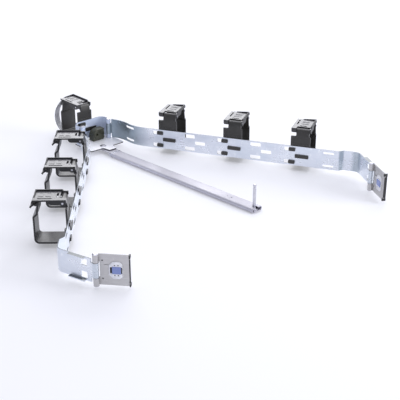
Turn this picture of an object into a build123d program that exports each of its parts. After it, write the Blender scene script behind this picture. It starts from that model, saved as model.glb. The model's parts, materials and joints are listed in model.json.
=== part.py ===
"""Server cable management arm for a 19-inch rack, 1U class.

Two slotted steel strips stand on edge and swing on the two pins of an elbow link. Each strip ends
in a bent leaf that carries a hinged end bracket with a push-button latch. A flat telescoping bar
pivots under the elbow and carries an upright peg. Seven cable clips with hinged lids snap into the
slots of the strips and of the link.

Every piece is drawn in the frame of what carries it: the elbow (x inward between the arms, y towards
the rear arm), an arm (x along the arm, y outward), an end bracket (x along its plate), a clip (x along
the strip, y away from it) or the bar (x along the bar). All have z = 0 at the floor. The last section
places the pieces in the row frame: front arm along -Y, origin at the bottom centre of the whole.
"""

import os
from math import acos, cos, degrees, radians, sin, tan

from build123d import *

# ---- Driving dimensions: millimetres and degrees ----------------------------------------------
SHEET = 1.2  # plated steel of strips, link and end brackets
STRIP_H = 28.0  # height of an arm's strip on edge
STRIP_Z = 8.0  # floor to the strips' lower edge
PIN_R = 2.0  # hinge pins of elbow and end brackets
PIN_PLAY = 0.05  # running clearance of a pin in its rolled knuckle
KNUCKLE_PLAY = 0.2  # end play between neighbouring knuckles
NOTCH = 0.5  # how far a sheet is cut back beyond the neighbour's knuckle

PIVOT_SPACING = 46.4  # between the elbow's two pins
LINK_DEPTH = 18.6  # elbow pins to the link's back, at mid sheet
LINK_CORNER_R = 9.0
ELBOW_KNUCKLE = 15.6  # height of the arm's knuckle between the link's two

ARM_OFFSET = 15.5  # straight run's set-in from the elbow pin
SWAY_START = 5.0  # straight lead from the elbow pin
SWAY_R = 50.0
JOGGLE_AT = 345.4  # outward joggle near the far end
JOGGLE_RUN, JOGGLE_STEP = 5.8, 5.0
BEND_AT = 371.5  # corner where the leaf turns inward
BEND_R = 10.0
LEAF_ANGLE = 58.0
LEAF_LENGTH = 49.5  # corner to the end pin
LEAF_KNUCKLE = 18.0

SLOT_L, SLOT_H, SLOT_R = 15.0, 5.5, 1.2
SLOT_SPREAD = 18.5  # between the upper and lower slot rows
SET_PITCH = 48.25  # slot sets; every second one carries a clip
CLIP_AT = 98.9  # first clip's centre along the arm
CLIPS_PER_ARM = 3
HOOK_SLOT_SHIFT = -14.4  # from a clip's centre to the centre of its two hook slots
TAB_SLOT_SHIFT = 0.8  # and to the centre of its snap-tab slot
SPARE_SLOT_H = 3.2  # the pairs of low slots on the curved root and before the joggle
SWAY_SLOT_AT = 38.5
END_SLOT_BACK = 13.7  # from the joggle to the centre of the pair before it

LEAF_WINDOW, LEAF_WINDOW_R = 8.2, 1.0
LEAF_WINDOW_AT = 36.5  # corner to the windows' centre
LEAF_WINDOW_SPREAD = 15.5
FLANGE_L, FLANGE_W = 22.0, 4.0  # stiffening flanges along the leaf
FLANGE_AT = 28.0  # corner to the flanges' centre

BRACKET_H = 36.9
BRACKET_L = 36.2  # end pin to the plate's far edge
BRACKET_HEM = 3.0
HEM_R = 0.8
CORNER_LIP_H = 4.0
WINDOW_W, WINDOW_H, WINDOW_R = 14.9, 20.4, 2.0  # latch window
WINDOW_AT = 20.9  # end pin to the window's centre
PAD_W, PAD_H, PAD_T = 5.2, 12.4, 0.6  # embossed rest beside the window
PAD_CORNER_R = 1.0
PAD_AT = 10.6  # end pin to the pad's centre
HOLE_R = 0.9
HOLE_AT, HOLE_SPREAD = 6.8, 21.8  # end pin to the plate's two holes, and between them

LATCH_FIT = 0.15  # around the latch housing and the button
LATCH_PROUD = 0.9
LATCH_DEPTH = 4.4  # housing behind the plate's front face
LATCH_FLANGE = 1.2
LATCH_SLOT_W, LATCH_SLIT_W, LATCH_SLOT_H = 2.1, 1.1, 7.5  # openings at the button's two sides
LATCH_DOT_R, LATCH_DOT_SPREAD_X, LATCH_DOT_SPREAD_Z = 0.7, 3.8, 12.0
BUTTON_W, BUTTON_H, BUTTON_R, BUTTON_CHAMFER = 9.6, 8.6, 1.0, 0.6
BUTTON_FOOT = 1.0  # rim that keeps the button in its housing
BUTTON_SHIFT = 1.0  # from the window's centre, towards the far edge
BUTTON_PROUD = 1.6

CLIP_W, CLIP_D, CLIP_WALL = 27.0, 40.0, 2.2
CORNER_CLIP_W, CORNER_CLIP_D = 24.0, 44.5
CORNER_HOOK_SHIFT = 5.5  # its hooks sit this much further along than on the arms' clips
CLIP_SEAT = 0.1
CLIP_DROP = 1.7  # loop's bottom below the strip
CLIP_CORNER_R = 5.0
CLIP_WALL_TOP = 42.0  # above the strip's lower edge, as are the heights below
KINK_LOW, KINK_HIGH, KINK_IN = 32.0, 36.0, 4.0
MOUTH_TOP, MOUTH_IN = 50.6, 6.4
BARB_OUT, BARB_DROP, BARB_NOSE, BARB_ROOT = 4.3, 3.4, 0.9, 5.2  # reach, then heights below the mouth
FOOT_TOP, FOOT_T, FOOT_W = 16.5, 2.4, 4.5
PANEL_RIM, PANEL_H, PANEL_DEEP, PANEL_AT = 8.0, 8.4, 0.5, 35.0
HOOK_PLAY = 0.2  # around the necks in their slots
HOOK_NECK_L, HOOK_REACH = 8.4, 0.8  # neck's length, and how far the hook runs past its slot
TAB_REACH = 4.3  # how far the snap tab's head runs past its slot
HINGE_IN, HINGE_UP = 5.0, 49.0
HINGE_SHIFT = 2.5  # the body's knuckle along the clip, from its centre
HINGE_R = 3.2
HINGE_ROOT = 2.0  # height of wall that the knuckle grows from
LID_PIN_R = 1.25
HINGE_CHEEK = 4.6  # half the clip's width less half the body's knuckle
HINGE_SIDE_PLAY = 0.4
LID_T, LID_TOP = 2.0, 53.5
LID_LIP_H = 4.5
LID_SHORT = 1.5  # lid's outer edge inside the loop's outer face
LID_BACK = 1.8  # mid sheet of the lid's lip beyond the strip
SKIRT_T, SKIRT_H, SKIRT_REACH, SKIRT_R = 1.6, 6.2, 21.0, 4.0
TAB_HALF = 9.0
TAB_OUT, TAB_LIP_OUT = 1.5, 4.4  # pull tab outside the lid's outer edge, and its flared end
TAB_BEND, TAB_LOW, TAB_END = 3.5, 7.0, 10.5  # and down
CATCH_NOSE, CATCH_ROOT = 0.8, 2.4
LATCH_GAP = 0.2  # lid's catch to the loop's barb
CROSS_SLOT_L, CROSS_SLOT_W, CROSS_SLOT_X, CROSS_SLOT_Y = 10.4, 2.4, 0.7, 11.6
LONG_SLOT_L, LONG_SLOT_W, LONG_SLOT_X, LONG_SLOT_Y = 17.0, 2.0, -9.0, 25.5
RIB_L, RIB_W, RIB_H, RIB_Y = 30.0, 2.0, 0.7, 21.0

BASE_T = 1.5
BASE_GAP = 0.2  # under the strips
BASE_HALF, BASE_REACH, BASE_BACK = 29.0, 28.5, 13.0
BASE_CORNER_R = 2.5
TONGUE_HALF, TONGUE_REACH, TONGUE_FLARE = 6.5, 41.0, 2.0
HEAD_R, HEAD_T = 3.3, 1.3  # rivet heads of the hinge pins

BLOCK_L, BLOCK_W, BLOCK_H = 11.0, 20.0, 16.5  # moulded spacer inside the link
BLOCK_X, BLOCK_Y = -5.5, 5.6  # its centre, in the elbow's frame
BLOCK_SHOULDER_R, BLOCK_CORNER_R, BLOCK_CHAMFER = 10.0, 3.0, 0.8
BOSS_R, BOSS_T, BOSS_BORE_R = 4.6, 1.4, 1.8
BOSS_SHIFT, BOSS_UP = -4.2, 1.8  # boss from the middle of the block's face
RIDGE_DEEP, RIDGE_W, RIDGE_STEP = 0.8, 1.0, 2.2  # grooves that follow the block's round shoulder
POCKET_W, POCKET_H, POCKET_DEEP, POCKET_SPREAD = 3.4, 10.2, 4.4, 6.0

BAR_H, BAR_W, BAR_T = 6.0, 18.5, 1.0
BAR_LIP = 3.4
BAR_HOLE_BACK, BAR_HOLE_PITCH = 43.0, 7.0  # two small holes, back from the rolled stretch's end
BAR_START, BAR_END = 24.0, 294.0  # rolled stretch, from the bar's pivot
BAR_TAIL_R = 7.5
BAR_TAIL_STEP = 1.0  # the tail is narrower than the rolled stretch on each side
BAR_PIVOT_X, BAR_PIVOT_Y = 22.0, -4.0  # in the elbow's frame
BAR_FIT = 0.15
SLIDE_W, SLIDE_L, SLIDE_END, SLIDE_CORNER_R = 13.8, 190.0, 296.0, 2.0
PEG_R, PEG_TOP, PEG_AT = 2.0, 36.0, 289.0
PEG_NOTCH_GAP = 0.6  # around the peg, in the rolled stretch's open end
PEG_FOOT_R, PEG_FOOT_T = 4.0, 1.2
PEG_GROOVE_TOP, PEG_GROOVE_L, PEG_GROOVE_DEEP = 3.0, 1.0, 0.4  # groove below the peg's top
PEG_TIP = 0.6
RIVET_R, RIVET_HEAD_R, RIVET_HEAD_T = 2.5, 4.6, 1.2

REAR_OPEN, FRONT_OPEN = 29.05, 41.3  # arms from the elbow's centre line
BAR_TURN = 4.0  # bar from the elbow's centre line, towards the rear arm
REAR_BRACKET_TURN, FRONT_BRACKET_TURN = -57.0, 82.0  # plates from their arms
CORNER_CLIP_SHIFT = -4.5  # corner clip along the link's back

# ---- Derived sizes ----------------------------------------------------------------------------
BORE_R = PIN_R + PIN_PLAY
KNUCKLE_R = BORE_R + SHEET
ROLL = KNUCKLE_R - SHEET / 2  # pin axis to the mid sheet of a rolled knuckle
CUT_BACK = KNUCKLE_R + NOTCH
STRIP_MID = STRIP_Z + STRIP_H / 2
STRIP_TOP = STRIP_Z + STRIP_H
BASE_TOP = STRIP_Z - BASE_GAP
BASE_Z = BASE_TOP - BASE_T
SLOT_ROWS = (STRIP_MID - SLOT_SPREAD / 2, STRIP_MID + SLOT_SPREAD / 2)
SLOT_SETS = [CLIP_AT + k * SET_PITCH for k in range(2 * CLIPS_PER_ARM - 1)]
BRACKET_Z = STRIP_MID - BRACKET_H / 2

sway_angle = degrees(acos(1 - (ROLL + ARM_OFFSET) / (2 * SWAY_R)))
run_y = -ARM_OFFSET
tail_y = run_y + JOGGLE_STEP
leaf_dir = Vector(cos(radians(LEAF_ANGLE)), -sin(radians(LEAF_ANGLE)))
leaf_out = Vector(sin(radians(LEAF_ANGLE)), cos(radians(LEAF_ANGLE)))
leaf_foot = Vector(BEND_AT, tail_y) + leaf_dir * LEAF_LENGTH
END_PIN = leaf_foot - leaf_out * ROLL
end_pin_xy = (END_PIN.X, END_PIN.Y)


def rivet(shank_r, low, high, head_r, head_t):
    """A round pin between two low bevelled heads, its shank from z = low to z = high."""
    crown_r = head_r * 0.6
    rim_t = head_t * 0.4
    with BuildPart() as pin:
        with BuildSketch(Plane.XZ):
            with BuildLine():
                Polyline(
                    (0, low - head_t), (crown_r, low - head_t), (head_r, low - rim_t),
                    (head_r, low), (shank_r, low), (shank_r, high), (head_r, high),
                    (head_r, high + rim_t), (crown_r, high + head_t), (0, high + head_t),
                    close=True,
                )
            make_face()
        revolve(axis=Axis.Z)
    return pin.part


# ---- Elbow: link, base plate, pins, block ------------------------------------------------------
half_spacing = PIVOT_SPACING / 2
leg_y = half_spacing + ROLL
pivots = [(0, -half_spacing), (0, half_spacing)]
corner_slots = CORNER_CLIP_SHIFT + CORNER_HOOK_SHIFT

with BuildPart() as elbow_link:
    with BuildSketch(Plane.XY.offset(STRIP_Z)):
        with BuildLine():
            FilletPolyline(
                (0, -leg_y), (-LINK_DEPTH, -leg_y), (-LINK_DEPTH, leg_y), (0, leg_y),
                radius=LINK_CORNER_R,
            )
        trace(line_width=SHEET)
        with Locations(*pivots):
            Circle(KNUCKLE_R)
    extrude(amount=STRIP_H)
    with BuildSketch(Plane.XY.offset(STRIP_Z)):
        with Locations(*pivots):
            Circle(BORE_R)
    extrude(amount=STRIP_H, mode=Mode.SUBTRACT)
    with Locations(*[(0, y, STRIP_MID) for _, y in pivots]):
        Box(2 * CUT_BACK, 3 * KNUCKLE_R, ELBOW_KNUCKLE + 2 * KNUCKLE_PLAY, mode=Mode.SUBTRACT)
    with BuildSketch(Plane.YZ):
        with Locations(*[(corner_slots + HOOK_SLOT_SHIFT, z) for z in SLOT_ROWS]):
            RectangleRounded(SLOT_L, SLOT_H, SLOT_R)
        with Locations((corner_slots + TAB_SLOT_SHIFT, STRIP_MID)):
            RectangleRounded(SLOT_L, SLOT_H, SLOT_R)
    extrude(amount=-LINK_DEPTH - SHEET, mode=Mode.SUBTRACT)

with BuildPart() as elbow_base_plate:
    with BuildSketch(Plane.XY.offset(BASE_Z)):
        with BuildLine():
            Polyline(
                (-BASE_BACK, -BASE_HALF), (BASE_REACH, -BASE_HALF),
                (BASE_REACH, -TONGUE_HALF - TONGUE_FLARE), (TONGUE_REACH, -TONGUE_HALF),
                (TONGUE_REACH, TONGUE_HALF), (BASE_REACH, TONGUE_HALF + TONGUE_FLARE),
                (BASE_REACH, BASE_HALF), (-BASE_BACK, BASE_HALF), close=True,
            )
        make_face()
        fillet(vertices(), radius=BASE_CORNER_R)
        with Locations(*pivots):
            Circle(BORE_R, mode=Mode.SUBTRACT)
        with Locations((BAR_PIVOT_X, BAR_PIVOT_Y)):
            Circle(RIVET_R + PIN_PLAY, mode=Mode.SUBTRACT)
    extrude(amount=BASE_T)

with BuildPart() as elbow_block:
    block_face = Plane(
        origin=(BLOCK_X + BLOCK_L / 2, BLOCK_Y, BASE_TOP + BLOCK_H / 2), x_dir=(0, 1, 0), z_dir=(1, 0, 0),
    )
    with BuildSketch(block_face) as block_outline:
        Rectangle(BLOCK_W, BLOCK_H)
        fillet(block_outline.vertices().group_by(Axis.Z)[-1].sort_by(Axis.Y)[-1], radius=BLOCK_SHOULDER_R)
        fillet(block_outline.vertices().group_by(Axis.Z)[-1].sort_by(Axis.Y)[0], radius=BLOCK_CORNER_R)
    extrude(amount=-BLOCK_L)
    chamfer(elbow_block.faces().sort_by(Axis.X)[-1].edges(), length=BLOCK_CHAMFER)
    # grooves round the shoulder, and one boss for the cover's screw
    shoulder = (BLOCK_W / 2 - BLOCK_SHOULDER_R, BLOCK_H / 2 - BLOCK_SHOULDER_R)
    with BuildSketch(block_face):
        for ring in (1, 2):
            with Locations(shoulder):
                Circle(BLOCK_SHOULDER_R - ring * RIDGE_STEP + RIDGE_W / 2)
                Circle(BLOCK_SHOULDER_R - ring * RIDGE_STEP - RIDGE_W / 2, mode=Mode.SUBTRACT)
        with Locations(shoulder):
            Rectangle(BLOCK_W, BLOCK_H, align=(Align.MIN, Align.MIN), mode=Mode.INTERSECT)
    extrude(amount=-RIDGE_DEEP, mode=Mode.SUBTRACT)
    with BuildSketch(block_face):
        with Locations((BOSS_SHIFT, BOSS_UP)):
            Circle(BOSS_R)
    extrude(amount=BOSS_T)
    with BuildSketch(block_face.offset(BOSS_T)):
        with Locations((BOSS_SHIFT, BOSS_UP)):
            Circle(BOSS_BORE_R)
    extrude(amount=-2 * BOSS_T, mode=Mode.SUBTRACT)
    with BuildSketch(block_face.offset(-BLOCK_L)):
        with GridLocations(POCKET_SPREAD, 0, 2, 1):
            Rectangle(POCKET_W, POCKET_H)
    extrude(amount=POCKET_DEEP, mode=Mode.SUBTRACT)

ELBOW_PIN = rivet(PIN_R, BASE_Z, STRIP_TOP, HEAD_R, HEAD_T)

# ---- Arm: slotted strip with the bent leaf, and its end pin --------------------------------------
leaf_plan = Plane(origin=(BEND_AT, tail_y, 0), x_dir=leaf_dir, z_dir=(0, 0, 1))
leaf_face = Plane(
    origin=(BEND_AT, tail_y, STRIP_MID), x_dir=leaf_dir, z_dir=leaf_out * -1
)


def arm_strip(hook_shift, tab_shift):
    """One arm's strip. The shifts place the slots beside each clip: the two arms differ in them,
    because the same clip sits turned half round on the other arm."""
    with BuildPart() as strip:
        with BuildSketch(Plane.XY.offset(STRIP_Z)):
            with BuildLine():
                lead = Line((0, ROLL), (SWAY_START, ROLL))
                inward = JernArc(lead @ 1, lead % 1, SWAY_R, -sway_angle)
                level = JernArc(inward @ 1, inward % 1, SWAY_R, sway_angle)
                run = Line(level @ 1, (JOGGLE_AT, run_y))
                joggle = Line(run @ 1, (JOGGLE_AT + JOGGLE_RUN, tail_y))
                tail = Line(joggle @ 1, (BEND_AT - BEND_R * tan(radians(LEAF_ANGLE / 2)), tail_y))
                bend = JernArc(tail @ 1, tail % 1, BEND_R, -LEAF_ANGLE)
                Line(bend @ 1, (leaf_foot.X, leaf_foot.Y))
            trace(line_width=SHEET)
            with Locations((0, 0), end_pin_xy):
                Circle(KNUCKLE_R)
        extrude(amount=STRIP_H)
        with BuildSketch(Plane.XY.offset(STRIP_Z)):
            with Locations((0, 0), end_pin_xy):
                Circle(BORE_R)
        extrude(amount=STRIP_H, mode=Mode.SUBTRACT)
        # both ends keep only their middle knuckle; the neighbour's knuckles sit above and below
        ends = (((0, 0), 0, ELBOW_KNUCKLE), (end_pin_xy, 180 - LEAF_ANGLE, LEAF_KNUCKLE))
        for end, turn, knuckle in ends:
            for side in (-1, 1):
                with BuildSketch(Plane.XY.offset(STRIP_MID + side * knuckle / 2)):
                    with Locations(Location((*end, 0), (0, 0, turn))):
                        Rectangle(2 * CUT_BACK, 3 * KNUCKLE_R)
                extrude(amount=side * STRIP_H, mode=Mode.SUBTRACT)
        # stiffening flanges along the leaf's upper and lower edges, and its two windows
        for z, amount in ((STRIP_Z, SHEET), (STRIP_TOP, -SHEET)):
            with BuildSketch(leaf_plan.offset(z)):
                with Locations((FLANGE_AT, FLANGE_W / 2)):
                    Rectangle(FLANGE_L, FLANGE_W + SHEET)
            extrude(amount=amount)
        with BuildSketch(leaf_face):
            with GridLocations(0, LEAF_WINDOW_SPREAD, 1, 2):
                with Locations((LEAF_WINDOW_AT, 0)):
                    RectangleRounded(LEAF_WINDOW, LEAF_WINDOW, LEAF_WINDOW_R)
        extrude(amount=2 * SHEET, both=True, mode=Mode.SUBTRACT)
        # slots: three rows on the straight run, low pairs on the curved root and before the joggle
        with BuildSketch(Plane.XZ):
            for z in SLOT_ROWS:
                with Locations(*[(x + hook_shift, z) for x in SLOT_SETS]):
                    RectangleRounded(SLOT_L, SLOT_H, SLOT_R)
                with Locations((SWAY_SLOT_AT, z), (JOGGLE_AT - END_SLOT_BACK, z)):
                    RectangleRounded(SLOT_L, SPARE_SLOT_H, SLOT_R)
            with Locations(*[(x + tab_shift, STRIP_MID) for x in SLOT_SETS]):
                RectangleRounded(SLOT_L, SLOT_H, SLOT_R)
        extrude(amount=2 * ARM_OFFSET, both=True, mode=Mode.SUBTRACT)
    return strip.part


END_PIN_SOLID = rivet(PIN_R, BRACKET_Z, BRACKET_Z + BRACKET_H, HEAD_R, HEAD_T)

# ---- End bracket: plate with hemmed edge and latch ------------------------------------------------
plate_front = Plane(origin=(0, ROLL - SHEET / 2, STRIP_MID), x_dir=(1, 0, 0), z_dir=(0, -1, 0))
BUTTON_AT = WINDOW_AT + BUTTON_SHIFT

with BuildPart() as bracket_plate:
    with BuildSketch(Plane.XY.offset(BRACKET_Z)):
        with BuildLine():
            FilletPolyline(
                (0, ROLL), (BRACKET_L - SHEET / 2, ROLL), (BRACKET_L - SHEET / 2, ROLL + BRACKET_HEM),
                radius=HEM_R,
            )
        trace(line_width=SHEET)
        Circle(KNUCKLE_R)
        Circle(BORE_R, mode=Mode.SUBTRACT)
    extrude(amount=BRACKET_H)
    with Locations((0, 0, STRIP_MID)):
        Box(2 * CUT_BACK, 3 * KNUCKLE_R, LEAF_KNUCKLE + 2 * KNUCKLE_PLAY, mode=Mode.SUBTRACT)
    with BuildSketch(plate_front):
        with Locations((WINDOW_AT, 0)):
            RectangleRounded(WINDOW_W, WINDOW_H, WINDOW_R)
        with GridLocations(0, HOLE_SPREAD, 1, 2):
            with Locations((HOLE_AT, 0)):
                Circle(HOLE_R)
    extrude(amount=-2 * SHEET, mode=Mode.SUBTRACT)
    with BuildSketch(plate_front):
        with Locations((PAD_AT, 0)):
            RectangleRounded(PAD_W, PAD_H, PAD_CORNER_R)
    extrude(amount=PAD_T)
    for side in (-1, 1):
        with Locations((BRACKET_L, ROLL - SHEET / 2, STRIP_MID + side * (BRACKET_H - CORNER_LIP_H) / 2)):
            Box(SHEET, BRACKET_HEM, CORNER_LIP_H)

with BuildPart() as latch_housing:
    with BuildSketch(plate_front.offset(LATCH_PROUD)):
        with Locations((WINDOW_AT, 0)):
            RectangleRounded(WINDOW_W - 2 * LATCH_FIT, WINDOW_H - 2 * LATCH_FIT, WINDOW_R - LATCH_FIT)
    extrude(amount=-LATCH_PROUD - LATCH_DEPTH)
    with BuildSketch(plate_front.offset(-SHEET - CLIP_SEAT)):
        with Locations((WINDOW_AT, 0)):
            RectangleRounded(WINDOW_W + 2 * LATCH_FLANGE, WINDOW_H + 2 * LATCH_FLANGE, WINDOW_R)
    extrude(amount=-LATCH_FLANGE)
    with BuildSketch(plate_front.offset(LATCH_PROUD)):
        with Locations((BUTTON_AT, 0)):
            Rectangle(BUTTON_W + 2 * LATCH_FIT, BUTTON_H + 2 * LATCH_FIT)
        for side, gap in ((-1, LATCH_SLOT_W), (1, LATCH_SLIT_W)):
            with Locations((BUTTON_AT + side * (BUTTON_W + gap) / 2, 0)):
                Rectangle(gap + 2 * LATCH_FIT, LATCH_SLOT_H)
        with GridLocations(LATCH_DOT_SPREAD_X, LATCH_DOT_SPREAD_Z, 2, 2):
            with Locations((BUTTON_AT, 0)):
                Circle(LATCH_DOT_R)
    extrude(amount=-LATCH_PROUD - LATCH_DEPTH, mode=Mode.SUBTRACT)

with BuildPart() as latch_button:
    with BuildSketch(plate_front.offset(BUTTON_PROUD)):
        with Locations((BUTTON_AT, 0)):
            RectangleRounded(BUTTON_W, BUTTON_H, BUTTON_R)
    extrude(amount=-BUTTON_PROUD - LATCH_DEPTH - LATCH_FIT)
    chamfer(latch_button.faces().sort_by(Axis.Y)[0].edges(), length=BUTTON_CHAMFER)
    with BuildSketch(plate_front.offset(-LATCH_DEPTH - LATCH_FIT)):
        with Locations((BUTTON_AT, 0)):
            RectangleRounded(BUTTON_W + 2 * BUTTON_FOOT, BUTTON_H + 2 * BUTTON_FOOT, BUTTON_R)
    extrude(amount=-LATCH_FLANGE)

# ---- Cable clip: open loop, hinged lid, hinge pin --------------------------------------------------
clip_bottom = STRIP_Z - CLIP_DROP + CLIP_WALL / 2
wall_top = STRIP_Z + CLIP_WALL_TOP
hinge_axis = (HINGE_IN, STRIP_Z + HINGE_UP)
lid_mid = STRIP_Z + LID_TOP - LID_T / 2
HINGE_BORE_R = LID_PIN_R + PIN_PLAY
through = SHEET + 2 * CLIP_SEAT  # a neck's length through the sheet
neck_w = SLOT_H - 2 * HOOK_PLAY
mouth_z = STRIP_Z + MOUTH_TOP
barb_low = mouth_z - BARB_DROP - BARB_NOSE


def mouth_y(depth):
    """Distance from the strip to the mouth, the upper end of a loop's outer wall."""
    return depth - CLIP_WALL / 2 - MOUTH_IN


def clip_loop(width, depth, hook_shift=0.0):
    """The open loop. hook_shift moves its hooks and snap tab along the clip."""
    outer_y = depth - CLIP_WALL / 2
    mouth = mouth_y(depth)
    knuckle_half = width / 2 - HINGE_CHEEK
    with BuildPart() as loop:
        with BuildSketch(Plane.YZ):
            with BuildLine():
                cup = FilletPolyline(
                    (CLIP_WALL / 2, wall_top), (CLIP_WALL / 2, clip_bottom),
                    (outer_y, clip_bottom), (outer_y, STRIP_Z + KINK_LOW),
                    radius=CLIP_CORNER_R,
                )
                Polyline(cup @ 1, (outer_y - KINK_IN, STRIP_Z + KINK_HIGH), (mouth, mouth_z))
            trace(line_width=CLIP_WALL)
            # barb that the lid's catch snaps over
            with BuildLine():
                Polyline(
                    (mouth, mouth_z), (mouth + BARB_OUT, mouth_z - BARB_DROP),
                    (mouth + BARB_OUT, barb_low), (mouth, mouth_z - BARB_ROOT), close=True,
                )
            make_face()
        extrude(amount=width / 2, both=True)
        with BuildSketch(Plane.YZ.offset(HINGE_SHIFT)):
            with Locations(hinge_axis):
                Circle(HINGE_R)
            with Locations((CLIP_WALL / 2, wall_top - HINGE_ROOT / 2)):
                Rectangle(CLIP_WALL, HINGE_ROOT)
            make_hull()
        extrude(amount=knuckle_half, both=True)
        with BuildSketch(Plane.YZ):
            with Locations(hinge_axis):
                Circle(HINGE_BORE_R)
        extrude(amount=width, both=True, mode=Mode.SUBTRACT)
        # feet that stiffen the lower wall, and a shallow panel in its upper face
        for side in (-1, 1):
            with Locations((side * (width - FOOT_W) / 2, CLIP_WALL + FOOT_T / 2, STRIP_Z + FOOT_TOP / 2)):
                Box(FOOT_W, FOOT_T, FOOT_TOP)
        with Locations((0, 0, STRIP_Z + PANEL_AT)):
            Box(width - PANEL_RIM, 2 * PANEL_DEEP, PANEL_H, mode=Mode.SUBTRACT)
        # hooks through the two slots and the snap tab through the middle one
        neck_at = hook_shift + HOOK_SLOT_SHIFT + SLOT_L / 2 - HOOK_PLAY - HOOK_NECK_L / 2
        tab_at = hook_shift + TAB_SLOT_SHIFT
        with BuildSketch(Plane.XZ):
            with Locations(*[(neck_at, z) for z in SLOT_ROWS]):
                RectangleRounded(HOOK_NECK_L, neck_w, SLOT_R)
            with Locations((tab_at, STRIP_MID)):
                RectangleRounded(SLOT_L - 2 * HOOK_PLAY, neck_w, SLOT_R)
        extrude(amount=through)
        with BuildSketch(Plane.XZ.offset(through)):
            with Locations(*[(neck_at + HOOK_REACH / 2, z) for z in SLOT_ROWS]):
                RectangleRounded(HOOK_NECK_L + HOOK_REACH, neck_w, SLOT_R)
            with Locations((tab_at + TAB_REACH / 2, STRIP_MID)):
                RectangleRounded(SLOT_L - 2 * HOOK_PLAY + TAB_REACH, neck_w, SLOT_R)
        extrude(amount=SHEET)
    return loop.part


def clip_lid(width, depth):
    """The hinged lid, closed."""
    lid_y = depth - LID_SHORT
    tab_y = lid_y + TAB_OUT
    catch_y = mouth_y(depth) + BARB_OUT + LATCH_GAP
    catch_z = barb_low - LATCH_GAP
    knuckle_half = width / 2 - HINGE_CHEEK + HINGE_SIDE_PLAY
    with BuildPart() as lid:
        with BuildSketch(Plane.YZ):
            with BuildLine():
                Polyline((LID_BACK, lid_mid - LID_LIP_H + LID_T / 2), (LID_BACK, lid_mid), (lid_y, lid_mid))
            trace(line_width=LID_T)
        extrude(amount=width / 2, both=True)
        # the pull tab bends down outside the loop; its catch faces the loop's barb
        with BuildSketch(Plane.YZ):
            with BuildLine():
                Polyline(
                    (lid_y - LID_T / 2, lid_mid), (tab_y, lid_mid - TAB_BEND), (tab_y, lid_mid - TAB_LOW),
                    (lid_y + TAB_LIP_OUT, lid_mid - TAB_END),
                )
            trace(line_width=LID_T)
            with BuildLine():
                Polyline(
                    (tab_y, catch_z), (catch_y, catch_z), (catch_y, catch_z - CATCH_NOSE),
                    (tab_y, catch_z - CATCH_ROOT), close=True,
                )
            make_face()
        extrude(amount=TAB_HALF, both=True)
        # skirts with the two outer knuckles
        with BuildSketch(Plane.YZ.offset(width / 2)) as skirt:
            with Locations((HINGE_IN, STRIP_Z + LID_TOP - LID_T)):
                Rectangle(SKIRT_REACH - HINGE_IN, SKIRT_H - LID_T, align=(Align.MIN, Align.MAX))
            fillet(skirt.vertices().group_by(Axis.X)[-1].sort_by(Axis.Y)[0], radius=SKIRT_R)
        extrude(amount=-SKIRT_T)
        extrude(skirt.sketch.moved(Location((SKIRT_T - width, 0, 0))), amount=-SKIRT_T)
        for side in (-1, 1):
            with BuildSketch(Plane.YZ.offset(side * width / 2)):
                with Locations(hinge_axis):
                    Circle(HINGE_R)
            extrude(amount=-side * (width / 2 - knuckle_half - side * HINGE_SHIFT))
        # room for the loop's knuckle, open towards the strip
        with Locations((HINGE_SHIFT, HINGE_IN + HINGE_R + HINGE_SIDE_PLAY, lid_mid)):
            Box(
                2 * knuckle_half, depth, 3 * LID_LIP_H,
                align=(Align.CENTER, Align.MAX, Align.CENTER), mode=Mode.SUBTRACT,
            )
        with BuildSketch(Plane.YZ):
            with Locations(hinge_axis):
                Circle(HINGE_BORE_R)
        extrude(amount=width, both=True, mode=Mode.SUBTRACT)
        # slots and rib of the lid's top
        with BuildSketch(Plane.XY.offset(STRIP_Z + LID_TOP)):
            with Locations((CROSS_SLOT_X, CROSS_SLOT_Y)):
                SlotOverall(CROSS_SLOT_L, CROSS_SLOT_W)
            with Locations((LONG_SLOT_X, LONG_SLOT_Y)):
                SlotOverall(LONG_SLOT_L, LONG_SLOT_W, rotation=90)
        extrude(amount=-2 * LID_T, mode=Mode.SUBTRACT)
        with BuildSketch(Plane.XY.offset(STRIP_Z + LID_TOP)):
            with Locations(((width - RIB_W) / 2, RIB_Y)):
                Rectangle(RIB_W, RIB_L)
        extrude(amount=RIB_H)
    return lid.part


def clip_pin(width):
    """The lid's hinge pin."""
    with BuildPart() as pin:
        with BuildSketch(Plane.YZ.offset(-width / 2 + KNUCKLE_PLAY)):
            with Locations(hinge_axis):
                Circle(LID_PIN_R)
        extrude(amount=width - 2 * KNUCKLE_PLAY)
    return pin.part


# ---- Telescoping support bar -----------------------------------------------------------------------
roll_r = (BAR_H - BAR_T) / 2
flat_half = BAR_W / 2 - BAR_H / 2

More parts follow.
